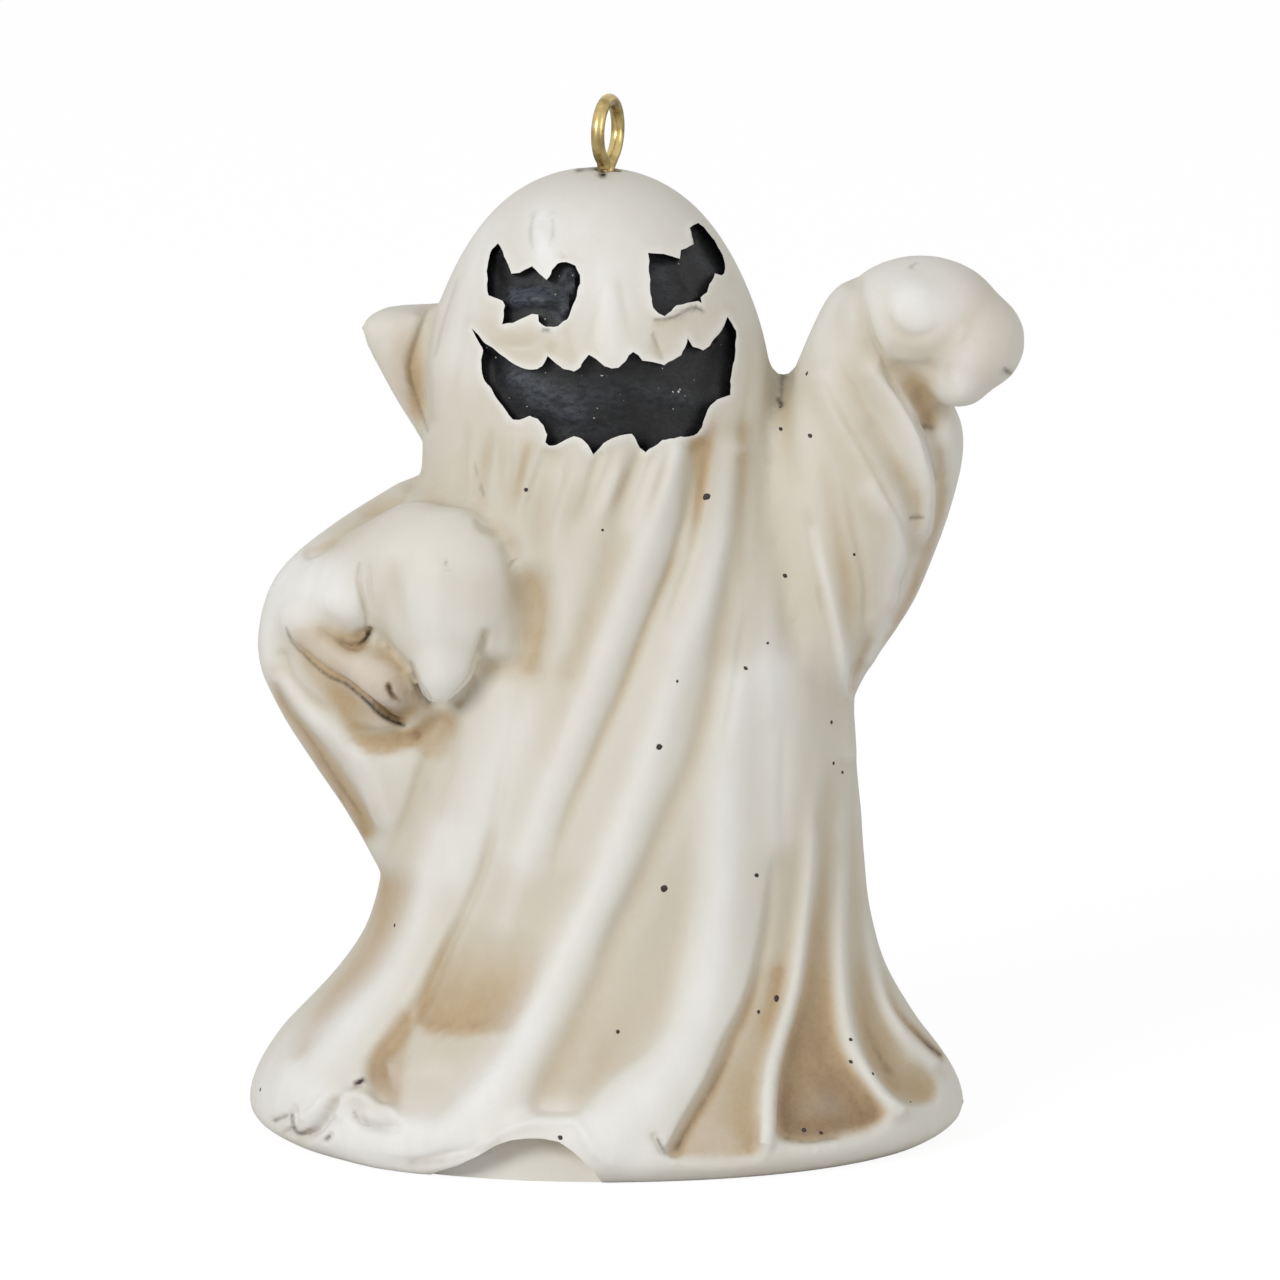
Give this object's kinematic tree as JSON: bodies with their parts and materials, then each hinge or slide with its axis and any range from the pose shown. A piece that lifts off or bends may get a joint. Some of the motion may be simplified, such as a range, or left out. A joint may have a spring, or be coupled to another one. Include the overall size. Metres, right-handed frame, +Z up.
{
  "type": "ghost ornament",
  "caption": "Small cast resin ghost under a draped sheet, one arm raised, with a recessed jagged grin and a wire eye in its crown to hang it by.",
  "frame": {"origin": "middle of the flat foot, on the surface that it stands on", "axes": "+Z up through the crown, -Y towards the side that the face looks to, +X towards the raised arm"},
  "size_m": [0.0576, 0.0449, 0.0784],
  "materials": {
    "painted_resin": "matte ivory paint with a brown wash in the folds and black paint in the face's recesses",
    "brass_wire": "slightly dulled bright wire"
  },
  "bodies": {
    "root": {"ghost_body": "painted_resin", "screw_eye": "brass_wire"}
  },
  "joints": []
}
